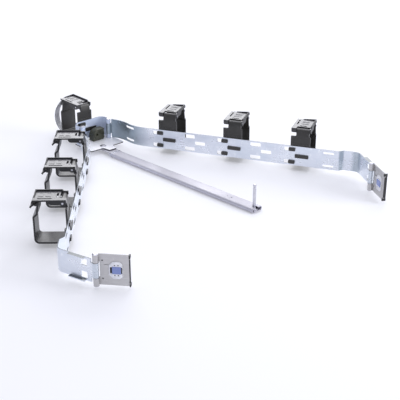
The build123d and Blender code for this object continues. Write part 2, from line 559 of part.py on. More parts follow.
with BuildPart() as bar_channel:
    with BuildSketch(Plane.YZ.offset(BAR_START)):
        for side in (-1, 1):
            with BuildLine():
                lip = Line((side * (flat_half - BAR_LIP), BAR_T / 2), (side * flat_half, BAR_T / 2))
                curl = ThreePointArc(
                    lip @ 1, (side * (flat_half + roll_r), BAR_H / 2), (side * flat_half, BAR_H - BAR_T / 2)
                )
                Line(curl @ 1, (0, BAR_H - BAR_T / 2))
            trace(line_width=BAR_T)
    extrude(amount=BAR_END - BAR_START)
    with BuildSketch(Plane.XY.offset(BAR_H)):
        with BuildLine():
            Polyline(
                (0, -BAR_TAIL_R), (BAR_START + BAR_T, BAR_TAIL_STEP - BAR_W / 2),
                (BAR_START + BAR_T, BAR_W / 2 - BAR_TAIL_STEP), (0, BAR_TAIL_R), close=True,
            )
        make_face()
        Circle(BAR_TAIL_R)
        Circle(RIVET_R + PIN_PLAY, mode=Mode.SUBTRACT)
    extrude(amount=-BAR_T)
    with BuildSketch(Plane.XY.offset(BAR_H)):
        with Locations(*[(BAR_END - BAR_HOLE_BACK - k * BAR_HOLE_PITCH, 0) for k in range(2)]):
            Circle(HOLE_R)
        with Locations((BAR_END, 0)):
            SlotCenterToCenter(2 * (BAR_END - PEG_AT), 2 * (PEG_R + PEG_NOTCH_GAP))
    extrude(amount=-BAR_T, mode=Mode.SUBTRACT)

slide_z = BAR_T + BAR_FIT
slide_h = BAR_H - 2 * slide_z
with BuildPart() as bar_slide:
    with BuildSketch(Plane.XY.offset(slide_z)):
        with Locations((SLIDE_END, 0)):
            Rectangle(SLIDE_L, SLIDE_W, align=(Align.MAX, Align.CENTER))
        fillet(vertices(), radius=SLIDE_CORNER_R)
    extrude(amount=slide_h)
    with Locations((SLIDE_END - SLIDE_L / 2, 0, slide_z + BAR_T)):
        Box(
            SLIDE_L + BAR_T, SLIDE_W - 2 * BAR_T, slide_h, mode=Mode.SUBTRACT,
            align=(Align.CENTER, Align.CENTER, Align.MIN),
        )

peg_foot = slide_z + BAR_T
groove_top = PEG_TOP - PEG_GROOVE_TOP
groove_r = PEG_R - PEG_GROOVE_DEEP

with BuildPart() as bar_peg:
    with BuildSketch(Plane.XZ):
        with BuildLine():
            Polyline(
                (0, peg_foot), (PEG_FOOT_R, peg_foot), (PEG_FOOT_R, peg_foot + PEG_FOOT_T),
                (PEG_R, peg_foot + PEG_FOOT_T), (PEG_R, groove_top - PEG_GROOVE_L),
                (groove_r, groove_top - PEG_GROOVE_L), (groove_r, groove_top), (PEG_R, groove_top),
                (PEG_R, PEG_TOP - PEG_TIP), (PEG_R - PEG_TIP, PEG_TOP), (0, PEG_TOP), close=True,
            )
        make_face()
    revolve(axis=Axis.Z)

BAR_RIVET = rivet(RIVET_R, BAR_H - BAR_T, BASE_TOP, RIVET_HEAD_R, RIVET_HEAD_T)

# ---- Placing ---------------------------------------------------------------------------------------
elbow = Location((0, 0, 0), (0, 0, FRONT_OPEN - 90))
rear_arm = elbow * Location((0, half_spacing, 0), (0, 0, REAR_OPEN))
front_arm = elbow * Location((0, -half_spacing, 0), (0, 0, -FRONT_OPEN))
bar = elbow * Location((BAR_PIVOT_X, BAR_PIVOT_Y, 0), (0, 0, BAR_TURN))
seat_y = ARM_OFFSET - SHEET / 2 - CLIP_SEAT

rear_strip = arm_strip(HOOK_SLOT_SHIFT, TAB_SLOT_SHIFT)
front_strip = mirror(arm_strip(-HOOK_SLOT_SHIFT, -TAB_SLOT_SHIFT), about=Plane.XZ)

link_back = -LINK_DEPTH - SHEET / 2 - CLIP_SEAT
clip_frames = {"corner": elbow * Location((link_back, CORNER_CLIP_SHIFT, 0), (0, 0, 90))}
for k in range(CLIPS_PER_ARM):
    x = CLIP_AT + 2 * SET_PITCH * k
    clip_frames[f"rear_{k + 1}"] = rear_arm * Location((x, -seat_y, 0))
    clip_frames[f"front_{k + 1}"] = front_arm * Location((x, seat_y, 0), (0, 0, 180))

pieces = {
    "elbow_link": elbow * elbow_link.part,
    "elbow_base_plate": elbow * elbow_base_plate.part,
    "elbow_block": elbow * elbow_block.part,
    "rear_elbow_pin": rear_arm * ELBOW_PIN,
    "front_elbow_pin": front_arm * ELBOW_PIN,
    "rear_arm_strip": rear_arm * rear_strip,
    "front_arm_strip": front_arm * front_strip,
    "bar_pivot_rivet": bar * BAR_RIVET,
    "bar_channel": bar * bar_channel.part,
    "bar_slide": bar * bar_slide.part,
    "bar_peg": bar * Location((PEG_AT, 0, 0)) * bar_peg.part,
}
for side, arm, pin_y, turn in (
    ("rear", rear_arm, END_PIN.Y, REAR_BRACKET_TURN), ("front", front_arm, -END_PIN.Y, FRONT_BRACKET_TURN)
):
    bracket = arm * Location((END_PIN.X, pin_y, 0), (0, 0, turn))
    pieces[f"{side}_end_pin"] = bracket * END_PIN_SOLID
    pieces[f"{side}_bracket_plate"] = bracket * bracket_plate.part
    pieces[f"{side}_latch_housing"] = bracket * latch_housing.part
    pieces[f"{side}_latch_button"] = bracket * latch_button.part
arm_clip = (clip_loop(CLIP_W, CLIP_D), clip_lid(CLIP_W, CLIP_D), clip_pin(CLIP_W))
corner_clip = (
    clip_loop(CORNER_CLIP_W, CORNER_CLIP_D, CORNER_HOOK_SHIFT),
    clip_lid(CORNER_CLIP_W, CORNER_CLIP_D), clip_pin(CORNER_CLIP_W),
)
for name, frame in clip_frames.items():
    for kind, solid in zip(("loop", "lid", "pin"), corner_clip if name == "corner" else arm_clip):
        pieces[f"{name}_clip_{kind}"] = frame * solid

boxes = [piece.bounding_box() for piece in pieces.values()]
middle_x = (min(box.min.X for box in boxes) + max(box.max.X for box in boxes)) / 2
middle_y = (min(box.min.Y for box in boxes) + max(box.max.Y for box in boxes)) / 2
bottom_centre = Location((-middle_x, -middle_y, 0))

os.makedirs("parts", exist_ok=True)
for name, piece in pieces.items():
    piece = bottom_centre * piece
    piece.label = name
    export_step(piece, f"parts/{name}.step")
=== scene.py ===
"""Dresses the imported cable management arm: finishes, small moulded and pressed details, studio.

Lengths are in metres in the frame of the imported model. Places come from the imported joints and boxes,
so each detail sits on its CAD piece with no fitting.
"""

import json
import logging
import math
from collections.abc import Callable
from dataclasses import dataclass, field
from enum import Enum

import bpy
from mathutils import Matrix, Vector


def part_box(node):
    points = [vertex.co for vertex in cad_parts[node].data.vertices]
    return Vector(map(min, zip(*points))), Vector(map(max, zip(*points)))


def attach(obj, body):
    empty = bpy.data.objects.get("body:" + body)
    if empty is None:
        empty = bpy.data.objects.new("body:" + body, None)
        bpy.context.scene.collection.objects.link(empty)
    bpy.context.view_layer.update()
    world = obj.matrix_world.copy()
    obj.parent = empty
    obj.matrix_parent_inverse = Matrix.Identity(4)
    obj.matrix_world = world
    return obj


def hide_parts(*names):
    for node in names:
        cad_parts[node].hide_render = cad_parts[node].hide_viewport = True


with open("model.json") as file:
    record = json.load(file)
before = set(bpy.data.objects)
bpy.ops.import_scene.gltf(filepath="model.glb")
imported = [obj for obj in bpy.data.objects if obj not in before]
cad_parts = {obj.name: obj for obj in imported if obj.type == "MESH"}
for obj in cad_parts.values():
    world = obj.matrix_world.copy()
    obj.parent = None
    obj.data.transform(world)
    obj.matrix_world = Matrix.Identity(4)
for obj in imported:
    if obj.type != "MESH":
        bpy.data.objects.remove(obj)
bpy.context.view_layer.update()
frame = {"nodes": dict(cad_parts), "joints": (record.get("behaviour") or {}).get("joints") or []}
MM = 0.001
UP = Vector((0.0, 0.0, 1.0))
Triple = tuple[float, float, float]
BentLine = tuple[float, float, float, float]
logging.basicConfig(level=logging.INFO, format="%(message)s")
log = logging.getLogger("cable_arm")


class Side(Enum):
    """The two arms."""

    REAR = "rear"
    FRONT = "front"


class Lie(Enum):
    """How a sheet piece stands, which says where its cut edges face, and so which faces take the dark
    painted shade.
    """

    UPRIGHT = "Level"
    FLAT = "Upright"


# ---- Shader node groups ------------------------------------------------------------------------------
def new_group(name: str, inputs: dict[str, float], outputs: list[tuple[str, str]]) -> tuple:
    """Starts a shader node group with float inputs.

    Args:
        name: the group's name.
        inputs: each input socket's name and default value.
        outputs: each output socket's name and socket type.

    Returns:
        The node tree, its input node and its output node.
    """
    tree = bpy.data.node_groups.new(name, "ShaderNodeTree")
    for label, value in inputs.items():
        socket = tree.interface.new_socket(name=label, in_out="INPUT", socket_type="NodeSocketFloat")
        socket.default_value = value
    for label, kind in outputs:
        tree.interface.new_socket(name=label, in_out="OUTPUT", socket_type=kind)
    return tree, tree.nodes.new("NodeGroupInput"), tree.nodes.new("NodeGroupOutput")


def feed(tree: bpy.types.NodeTree, value: float | tuple | bpy.types.NodeSocket,
         into: bpy.types.NodeSocket) -> None:
    """Gives an input a number, a colour, or another socket's value."""
    if isinstance(value, bpy.types.NodeSocket):
        tree.links.new(value, into)
    else:
        into.default_value = (*value, 1.0) if isinstance(value, tuple) else value


def own_place(tree: bpy.types.NodeTree) -> bpy.types.NodeSocket:
    """Returns the socket of the place in the piece's own frame, which moves with the piece."""
    return tree.nodes.new("ShaderNodeTexCoord").outputs["Object"]


def split(tree: bpy.types.NodeTree, vector: bpy.types.NodeSocket) -> bpy.types.bpy_prop_collection:
    """Splits a vector and returns its X, Y and Z sockets."""
    node = tree.nodes.new("ShaderNodeSeparateXYZ")
    tree.links.new(vector, node.inputs["Vector"])
    return node.outputs


def noise(tree: bpy.types.NodeTree, place: bpy.types.NodeSocket, scale: float | bpy.types.NodeSocket,
          detail: float, roughness: float = 0.5) -> bpy.types.NodeSocket:
    """Adds a noise texture that is read at a place, and returns its value's socket."""
    node = tree.nodes.new("ShaderNodeTexNoise")
    for label, value in (("Vector", place), ("Scale", scale), ("Detail", detail),
                         ("Roughness", roughness)):
        feed(tree, value, node.inputs[label])
    return node.outputs["Fac"]


def ramp(tree: bpy.types.NodeTree, source: bpy.types.NodeSocket, low: float, high: float,
         to_low: float = 0.0, to_high: float = 1.0) -> bpy.types.NodeSocket:
    """Maps a value from low..high to to_low..to_high, held at both ends.

    Args:
        tree: the tree to add the node to.
        source: the value's socket.
        low: value that becomes to_low.
        high: value that becomes to_high.
        to_low: result at low.
        to_high: result at high.

    Returns:
        The socket with the mapped value.
    """
    node = tree.nodes.new("ShaderNodeMapRange")
    ends = {"From Min": low, "From Max": high, "To Min": to_low, "To Max": to_high}
    for label, value in ends.items():
        node.inputs[label].default_value = value
    tree.links.new(source, node.inputs["Value"])
    return node.outputs["Result"]


def math_node(tree: bpy.types.NodeTree, kind: str, first: bpy.types.NodeSocket,
              second: bpy.types.NodeSocket | float) -> bpy.types.NodeSocket:
    """Adds a math node of the named operation and returns its result's socket."""
    node = tree.nodes.new("ShaderNodeMath")
    node.operation = kind
    feed(tree, first, node.inputs[0])
    feed(tree, second, node.inputs[1])
    return node.outputs["Value"]


def rolled_sheet_group() -> bpy.types.NodeTree:
    """Plated rolled sheet: cloudy plating, fine rolling lines and a few rubbed spots.

    Returns:
        A group with a Cloud mask, a Rub mask and a Height.
    """
    tree, given, made = new_group(
        "rolled_sheet",
        {"Cloud Scale": 28.0, "Line Scale": 900.0, "Line Depth": 0.3, "Along": 0.04, "Up": 1.0},
        [("Cloud", "NodeSocketFloat"), ("Rub", "NodeSocketFloat"), ("Height", "NodeSocketFloat")])
    place = own_place(tree)
    stretch = tree.nodes.new("ShaderNodeCombineXYZ")
    for label, given_name in (("X", "Along"), ("Y", "Along"), ("Z", "Up")):
        tree.links.new(given.outputs[given_name], stretch.inputs[label])
    pulled = tree.nodes.new("ShaderNodeVectorMath")
    pulled.operation = "MULTIPLY"
    tree.links.new(place, pulled.inputs[0])
    tree.links.new(stretch.outputs["Vector"], pulled.inputs[1])
    cloud = noise(tree, place, given.outputs["Cloud Scale"], 4.0, 0.6)
    lines = noise(tree, pulled.outputs["Vector"], given.outputs["Line Scale"], 2.0)
    deep = math_node(tree, "MULTIPLY", lines, given.outputs["Line Depth"])
    both = math_node(tree, "ADD", deep, cloud)
    tree.links.new(ramp(tree, both, 0.45, 0.85), made.inputs["Cloud"])
    tree.links.new(both, made.inputs["Height"])
    rub = noise(tree, place, 160.0, 5.0, 0.7)
    tree.links.new(ramp(tree, rub, 0.58, 0.72), made.inputs["Rub"])
    return tree


def facing_group() -> bpy.types.NodeTree:
    """Tells level faces from upright ones, so that a sheet's cut edges, and every face that looks the
    same way, can take a dark painted shade.

    Returns:
        A group with a Level mask and an Upright mask, one the reverse of the other.
    """
    tree, _, made = new_group("facing", {}, [(lie.value, "NodeSocketFloat") for lie in Lie])
    way = split(tree, tree.nodes.new("ShaderNodeNewGeometry").outputs["Normal"])
    steep = math_node(tree, "POWER", way["Z"], 2.0)
    tree.links.new(ramp(tree, steep, 0.3, 0.6), made.inputs["Level"])
    tree.links.new(ramp(tree, steep, 0.3, 0.6, 1.0, 0.0), made.inputs["Upright"])
    return tree


def mould_grain_group() -> bpy.types.NodeTree:
    """Moulded plastic: fine spark-eroded grain, soft flow clouding, and on upward faces a lighter tone
    that is partly dust and partly a painted sheen.

    Returns:
        A group with a Cloud mask, a Dust mask and a Height.
    """
    tree, given, made = new_group(
        "mould_grain", {"Grain Scale": 2600.0, "Dust And Sheen Amount": 0.5},
        [("Cloud", "NodeSocketFloat"), ("Dust And Sheen", "NodeSocketFloat"), ("Height", "NodeSocketFloat")])
    place = own_place(tree)
    grain = noise(tree, place, given.outputs["Grain Scale"], 2.0, 0.6)
    tree.links.new(grain, made.inputs["Height"])
    cloud = noise(tree, place, 70.0, 3.0)
    tree.links.new(ramp(tree, cloud, 0.3, 0.7), made.inputs["Cloud"])
    way = split(tree, tree.nodes.new("ShaderNodeNewGeometry").outputs["Normal"])
    # Upward faces lighter: partly speckled dust, partly a painted sheen from above.
    top = ramp(tree, way["Z"], 0.6, 0.98)
    specks = noise(tree, place, 420.0, 4.0, 0.7)
    scattered = ramp(tree, specks, 0.35, 0.75, 0.45, 1.0)
    dust_and_sheen_on_top = math_node(tree, "MULTIPLY", top, scattered)
    dust_and_sheen = math_node(tree, "MULTIPLY", dust_and_sheen_on_top, given.outputs["Dust And Sheen Amount"])
    tree.links.new(dust_and_sheen, made.inputs["Dust And Sheen"])
    return tree


def bend_shade_group() -> bpy.types.NodeTree:
    """Painted shade round an upright line where a sheet was bent, darker near the line.

    Returns:
        A group with a painted shade mask, 1 at the line and 0 beyond its reach.
    """
    tree, given, made = new_group("bend_shade_sheet", {"X": 0.0, "Y": 0.0, "Reach": 0.01},
                                  [("Bend Shade", "NodeSocketFloat")])
    place = split(tree, own_place(tree))
    squares = []
    for axis in ("X", "Y"):
        off = math_node(tree, "SUBTRACT", place[axis], given.outputs[axis])
        squares.append(math_node(tree, "MULTIPLY", off, off))
    far = math_node(tree, "SQRT", math_node(tree, "ADD", squares[0], squares[1]), 0.0)
    share = math_node(tree, "DIVIDE", far, given.outputs["Reach"])
    fade = ramp(tree, share, 0.45, 1.0, 1.0, 0.0)
    tree.links.new(fade, made.inputs["Bend Shade"])
    return tree


def place_group(tree: bpy.types.NodeTree, group: bpy.types.NodeTree,
                values: dict[str, float]) -> bpy.types.Node:
    """Puts a shared group in a material with its own values and returns its node."""
    node = tree.nodes.new("ShaderNodeGroup")
    node.node_tree = group
    for label, value in values.items():
        node.inputs[label].default_value = value
    return node


def mixed(tree: bpy.types.NodeTree, mask: bpy.types.NodeSocket, first: tuple | bpy.types.NodeSocket,
          second: tuple) -> bpy.types.NodeSocket:
    """Mixes two colours by a mask.

    Args:
        tree: the material's tree.
        mask: 0 gives the first colour, 1 the second.
        first: a colour, or the socket of one.
        second: a colour.

    Returns:
        The mixed colour's socket.
    """
    node = tree.nodes.new("ShaderNodeMix")
    node.data_type = "RGBA"
    tree.links.new(mask, node.inputs["Factor"])
    feed(tree, first, node.inputs[6])
    feed(tree, second, node.inputs[7])
    return node.outputs[2]


def bumped(tree: bpy.types.NodeTree, shader: bpy.types.Node, height: bpy.types.NodeSocket, depth: float,
           strength: float) -> None:
    """Feeds a height into the shader's normal through a bump node of the given depth in metres."""
    node = tree.nodes.new("ShaderNodeBump")
    node.inputs["Distance"].default_value = depth
    node.inputs["Strength"].default_value = strength
    tree.links.new(height, node.inputs["Height"])
    tree.links.new(node.outputs["Normal"], shader.inputs["Normal"])


def blank_material(name: str) -> tuple[bpy.types.Material, bpy.types.NodeTree, bpy.types.Node]:
    """Returns a new node material, its tree and its Principled shader."""
    material = bpy.data.materials.new(name)
    material.use_nodes = True
    return material, material.node_tree, material.node_tree.nodes["Principled BSDF"]


# ---- Places ------------------------------------------------------------------------------------------
def joint(name: str) -> dict:
    """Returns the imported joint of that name."""
    return next(j for j in frame["joints"] if j["name"] == name)


def middle(node: str) -> Vector:
    """Returns the middle of a CAD node's box."""
    low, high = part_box(node)
    return (Vector(low) + Vector(high)) / 2


def along_arm(side: Side, distance: float, out: float = 0.0) -> Vector:
    """Returns a place so many millimetres along an arm from its elbow pin, and so many outward."""
    pivot = Vector(joint(f"{side.value}_arm_swing")["pos_m"])
    turn = 1.0 if side is Side.REAR else -1.0
    along = turn * Vector(joint(f"{side.value}_1_lid_hinge")["axis"])
    return pivot + (along * distance + turn * UP.cross(along) * out) * MM


@dataclass(frozen=True)
class Bend:
    """A line where a strip was bent: its place on the arm in millimetres, and how far and how
    strongly painted shade darkens the plating round it, the reach in metres."""

    along: float
    out: float
    reach: float
    strength: float


# Painted shade round each bend of the strips: its place, its reach in metres and its strength.
BENDS = {
    Side.REAR: (Bend(22.0, -6.0, 0.052, 0.85), Bend(348.3, -13.0, 0.0048, 0.7),
                Bend(370.0, -12.0, 0.009, 0.6)),
    Side.FRONT: (Bend(8.0, 0.0, 0.020, 0.5),),
}
# Painted shade round the bracket's hinge knuckle.
KNUCKLE_REACH, KNUCKLE_STRENGTH = 0.0045, 0.7


def bend_shade_places(side: Side) -> tuple[BentLine, ...]:
    """Returns x, y, reach and strength of the painted shade round each line where an arm's strip was
    bent, and round the bracket's knuckle.
    """
    places = [(*along_arm(side, bend.along, bend.out).xy, bend.reach, bend.strength)
              for bend in BENDS[side]]
    knuckle = joint(f"{side.value}_bracket_swing")["pos_m"]
    return (*places, (knuckle[0], knuckle[1], KNUCKLE_REACH, KNUCKLE_STRENGTH))


# ---- Finishes ----------------------------------------------------------------------------------------
@dataclass(frozen=True)
class PlatedSheet:
    """Plated sheet steel with rolling lines, a cloudy plating, painted shade on its cut edges and, where
    given, painted shade round its bends.
    """

    name: str
    light: Triple
    dark: Triple
    smooth: float
    dull: float
    # Colour of the painted shade on the cut edges, given to faces by which way they look.
    cut: Triple | None = None
    lie: Lie = Lie.UPRIGHT
    cloud_scale: float = 28.0
    line_scale: float = 900.0
    line_depth: float = 0.3
    along: float = 0.04
    up: float = 1.0
    bump: float = 0.05
    bump_depth: float = 0.0004
    rub_gain: float = 1.08
    metallic: float = 1.0
    # Lines of painted shade round bends, and the dark blue-grey that the shade darkens towards.
    bend_shade: tuple[BentLine, ...] = ()
    bend_shade_colour: Triple = (0.30, 0.37, 0.42)

    def material(self, groups: "GroupShelf") -> bpy.types.Material:
        """Builds the finish's material from the shared shader groups."""
        material, tree, shader = blank_material(self.name)
        sheet = place_group(tree, groups.sheet, {
            "Cloud Scale": self.cloud_scale, "Line Scale": self.line_scale,
            "Line Depth": self.line_depth, "Along": self.along, "Up": self.up})
        cloudy = mixed(tree, sheet.outputs["Cloud"], self.light, self.dark)
        rubbed = tuple(min(1.0, c * self.rub_gain) for c in self.light)
        colour = mixed(tree, sheet.outputs["Rub"], cloudy, rubbed)
        # Painted shade darkens the colour round each bend line.
        for x, y, reach, strength in self.bend_shade:
            bent = place_group(tree, groups.bend_shade, {"X": x, "Y": y, "Reach": reach})
            amount = math_node(tree, "MULTIPLY", bent.outputs["Bend Shade"], strength)
            colour = mixed(tree, amount, colour, self.bend_shade_colour)
        # Painted shade: faces that look the way the cut edges look take the cut colour.
        if self.cut is not None:
            facing = place_group(tree, groups.facing, {})
            colour = mixed(tree, facing.outputs[self.lie.value], colour, self.cut)
        tree.links.new(colour, shader.inputs["Base Color"])
        tree.links.new(ramp(tree, sheet.outputs["Cloud"], 0.0, 1.0, self.smooth, self.dull),
                       shader.inputs["Roughness"])
        shader.inputs["Metallic"].default_value = self.metallic
        bumped(tree, shader, sheet.outputs["Height"], self.bump_depth, self.bump)
        return material


@dataclass(frozen=True)
class MouldedPlastic:
    """Moulded plastic with a fine grain, and upper faces lighter from dust and from a painted sheen."""

    name: str
    colour: Triple
    clouded: Triple
    # Colour and amount of the dust and painted sheen on upper faces.
    dust_and_sheen_colour: Triple
    dust_and_sheen: float
    smooth: float
    dull: float
    coat: float = 0.0
    coat_dull: float = 0.12
    grain_scale: float = 2600.0
    grain_depth: float = 0.00003
    grain_bump: float = 0.6

    def material(self, groups: "GroupShelf") -> bpy.types.Material:
        """Builds the finish's material from the shared shader groups."""
        material, tree, shader = blank_material(self.name)
        grain = place_group(tree, groups.grain,
                            {"Grain Scale": self.grain_scale, "Dust And Sheen Amount": self.dust_and_sheen})
        flow = mixed(tree, grain.outputs["Cloud"], self.colour, self.clouded)
        # Dust and a painted sheen lighten the upper faces.
        colour = mixed(tree, grain.outputs["Dust And Sheen"], flow, self.dust_and_sheen_colour)
        tree.links.new(colour, shader.inputs["Base Color"])
        tree.links.new(ramp(tree, grain.outputs["Cloud"], 0.0, 1.0, self.smooth, self.dull),
                       shader.inputs["Roughness"])
        shader.inputs["Coat Weight"].default_value = self.coat
        shader.inputs["Coat Roughness"].default_value = self.coat_dull
        bumped(tree, shader, grain.outputs["Height"], self.grain_depth, self.grain_bump)
        return material


@dataclass
class GroupShelf:
    """The shader groups that several finishes share."""

    sheet: bpy.types.NodeTree = field(default_factory=rolled_sheet_group)
    grain: bpy.types.NodeTree = field(default_factory=mould_grain_group)
    facing: bpy.types.NodeTree = field(default_factory=facing_group)
    bend_shade: bpy.types.NodeTree = field(default_factory=bend_shade_group)


class FinishBook:
    """Every finish of the arm, each made once."""

    def __init__(self) -> None:
        """Makes all materials."""
        groups = GroupShelf()
        self.zinc = {
            side: PlatedSheet(f"{side.value}_zinc", (0.86, 0.89, 0.95), (0.74, 0.79, 0.87), 0.24, 0.36,
                              cut=(0.16, 0.17, 0.18), metallic=0.7,
                              bend_shade=bend_shade_places(side)).material(groups)
            for side in Side}
        self.link_zinc = PlatedSheet("blue_zinc", (0.95, 0.97, 1.0), (0.62, 0.69, 0.84), 0.32, 0.44,
                                     cut=(0.16, 0.18, 0.22), line_scale=260.0, line_depth=1.2,
                                     along=1.0, up=0.03, metallic=0.1).material(groups)
        self.plate = PlatedSheet("brushed_plate", (0.68, 0.67, 0.67), (0.58, 0.57, 0.57), 0.36, 0.48,
                                 cut=(0.30, 0.30, 0.30), line_depth=0.8, bump=0.12).material(groups)
        # Its upright sides take a near-black painted shade.
        self.base = PlatedSheet("base_plating", (0.99, 0.98, 1.0), (0.94, 0.93, 0.97), 0.50, 0.60,
                                cut=(0.03, 0.03, 0.035), lie=Lie.FLAT, metallic=0.5).material(groups)
        self.bar = PlatedSheet("bar_steel", (0.56, 0.55, 0.60), (0.49, 0.48, 0.53), 0.46, 0.56,
                               cut=(0.56, 0.55, 0.61), lie=Lie.FLAT, cloud_scale=16.0,
                               metallic=0.8).material(groups)
        self.turned = PlatedSheet("turned_steel", (0.62, 0.62, 0.66), (0.48, 0.48, 0.54), 0.20, 0.32,
                                  cloud_scale=120.0).material(groups)
        self.clip = MouldedPlastic("clip_plastic", (0.024, 0.022, 0.019), (0.036, 0.033, 0.029),
                                   (0.28, 0.27, 0.29), 0.45, 0.32, 0.44, coat=0.2).material(groups)
        self.lid = MouldedPlastic("lid_plastic", (0.026, 0.025, 0.026), (0.038, 0.036, 0.037),
                                  (0.24, 0.23, 0.27), 0.4, 0.30, 0.40, coat=0.5).material(groups)
        # Dark trim plastic of real parts; it also serves as painted shade on the clips' ends and in the
        # latch's slots and the plate's holes.
        self.trim = MouldedPlastic("trim_plastic", (0.012, 0.012, 0.013), (0.020, 0.020, 0.021),
                                   (0.06, 0.06, 0.07), 0.2, 0.40, 0.52).material(groups)
        self.block = MouldedPlastic("block_plastic", (0.030, 0.031, 0.018), (0.050, 0.052, 0.030),
                                    (0.14, 0.14, 0.11), 0.4, 0.40, 0.52).material(groups)
        self.housing = MouldedPlastic("latch_light", (0.93, 0.93, 0.95), (0.88, 0.88, 0.91),
                                      (0.90, 0.90, 0.92), 0.2, 0.28, 0.38, coat=0.3).material(groups)
        self.strap = MouldedPlastic("strap_light", (0.90, 0.90, 0.92), (0.55, 0.55, 0.57),
                                    (0.85, 0.85, 0.88), 0.3, 0.40, 0.60,
                                    grain_depth=0.00008).material(groups)
        self.button = MouldedPlastic("button_blue", (0.23, 0.29, 0.60), (0.26, 0.33, 0.65),
                                     (0.30, 0.36, 0.70), 0.2, 0.30, 0.40, coat=0.3).material(groups)

    def for_node(self, name: str) -> bpy.types.Material:
        """Returns the finish of a CAD node by its name."""
        by_ending = (
            ("clip_loop", self.clip), ("clip_lid", self.lid), ("latch_housing", self.housing),
            ("latch_button", self.button), ("elbow_block", self.block), ("bracket_plate", self.plate),
            ("elbow_link", self.link_zinc), ("bar_channel", self.bar), ("bar_slide", self.bar),
            ("base_plate", self.base), ("_pin", self.turned), ("rivet", self.turned),
            ("peg", self.turned),
        )
        for ending, material in by_ending:
            if name.endswith(ending):
                return material
        return self.zinc[Side.REAR if name.startswith("rear") else Side.FRONT]


def dress_nodes(book: FinishBook) -> None:
    """Gives every carried-over CAD node its finish."""
    for name, node in frame["nodes"].items():
        node.data.materials.clear()
        node.data.materials.append(book.for_node(name))
    log.info("dressed %d CAD nodes", len(frame["nodes"]))


# ---- Mesh work ---------------------------------------------------------------------------------------
@dataclass(frozen=True)
class Seat:
    """An upright local frame: where a detail's own origin goes and which way its x runs."""

    origin: Vector
    along: Vector

    def matrix(self) -> Matrix:
        """Returns the seat's matrix, z up and y a quarter turn left of x."""
        x = self.along.normalized()
        return Matrix.Translation(self.origin) @ Matrix((x, UP.cross(x), UP)).transposed().to_4x4()


# Cosines above which a face counts as a piece's end, and as looking straight along a direction.
END_FACING, STRAIGHT = 0.8, 0.9
DISC_SIDES, DISC_RIM = 32, 0.35


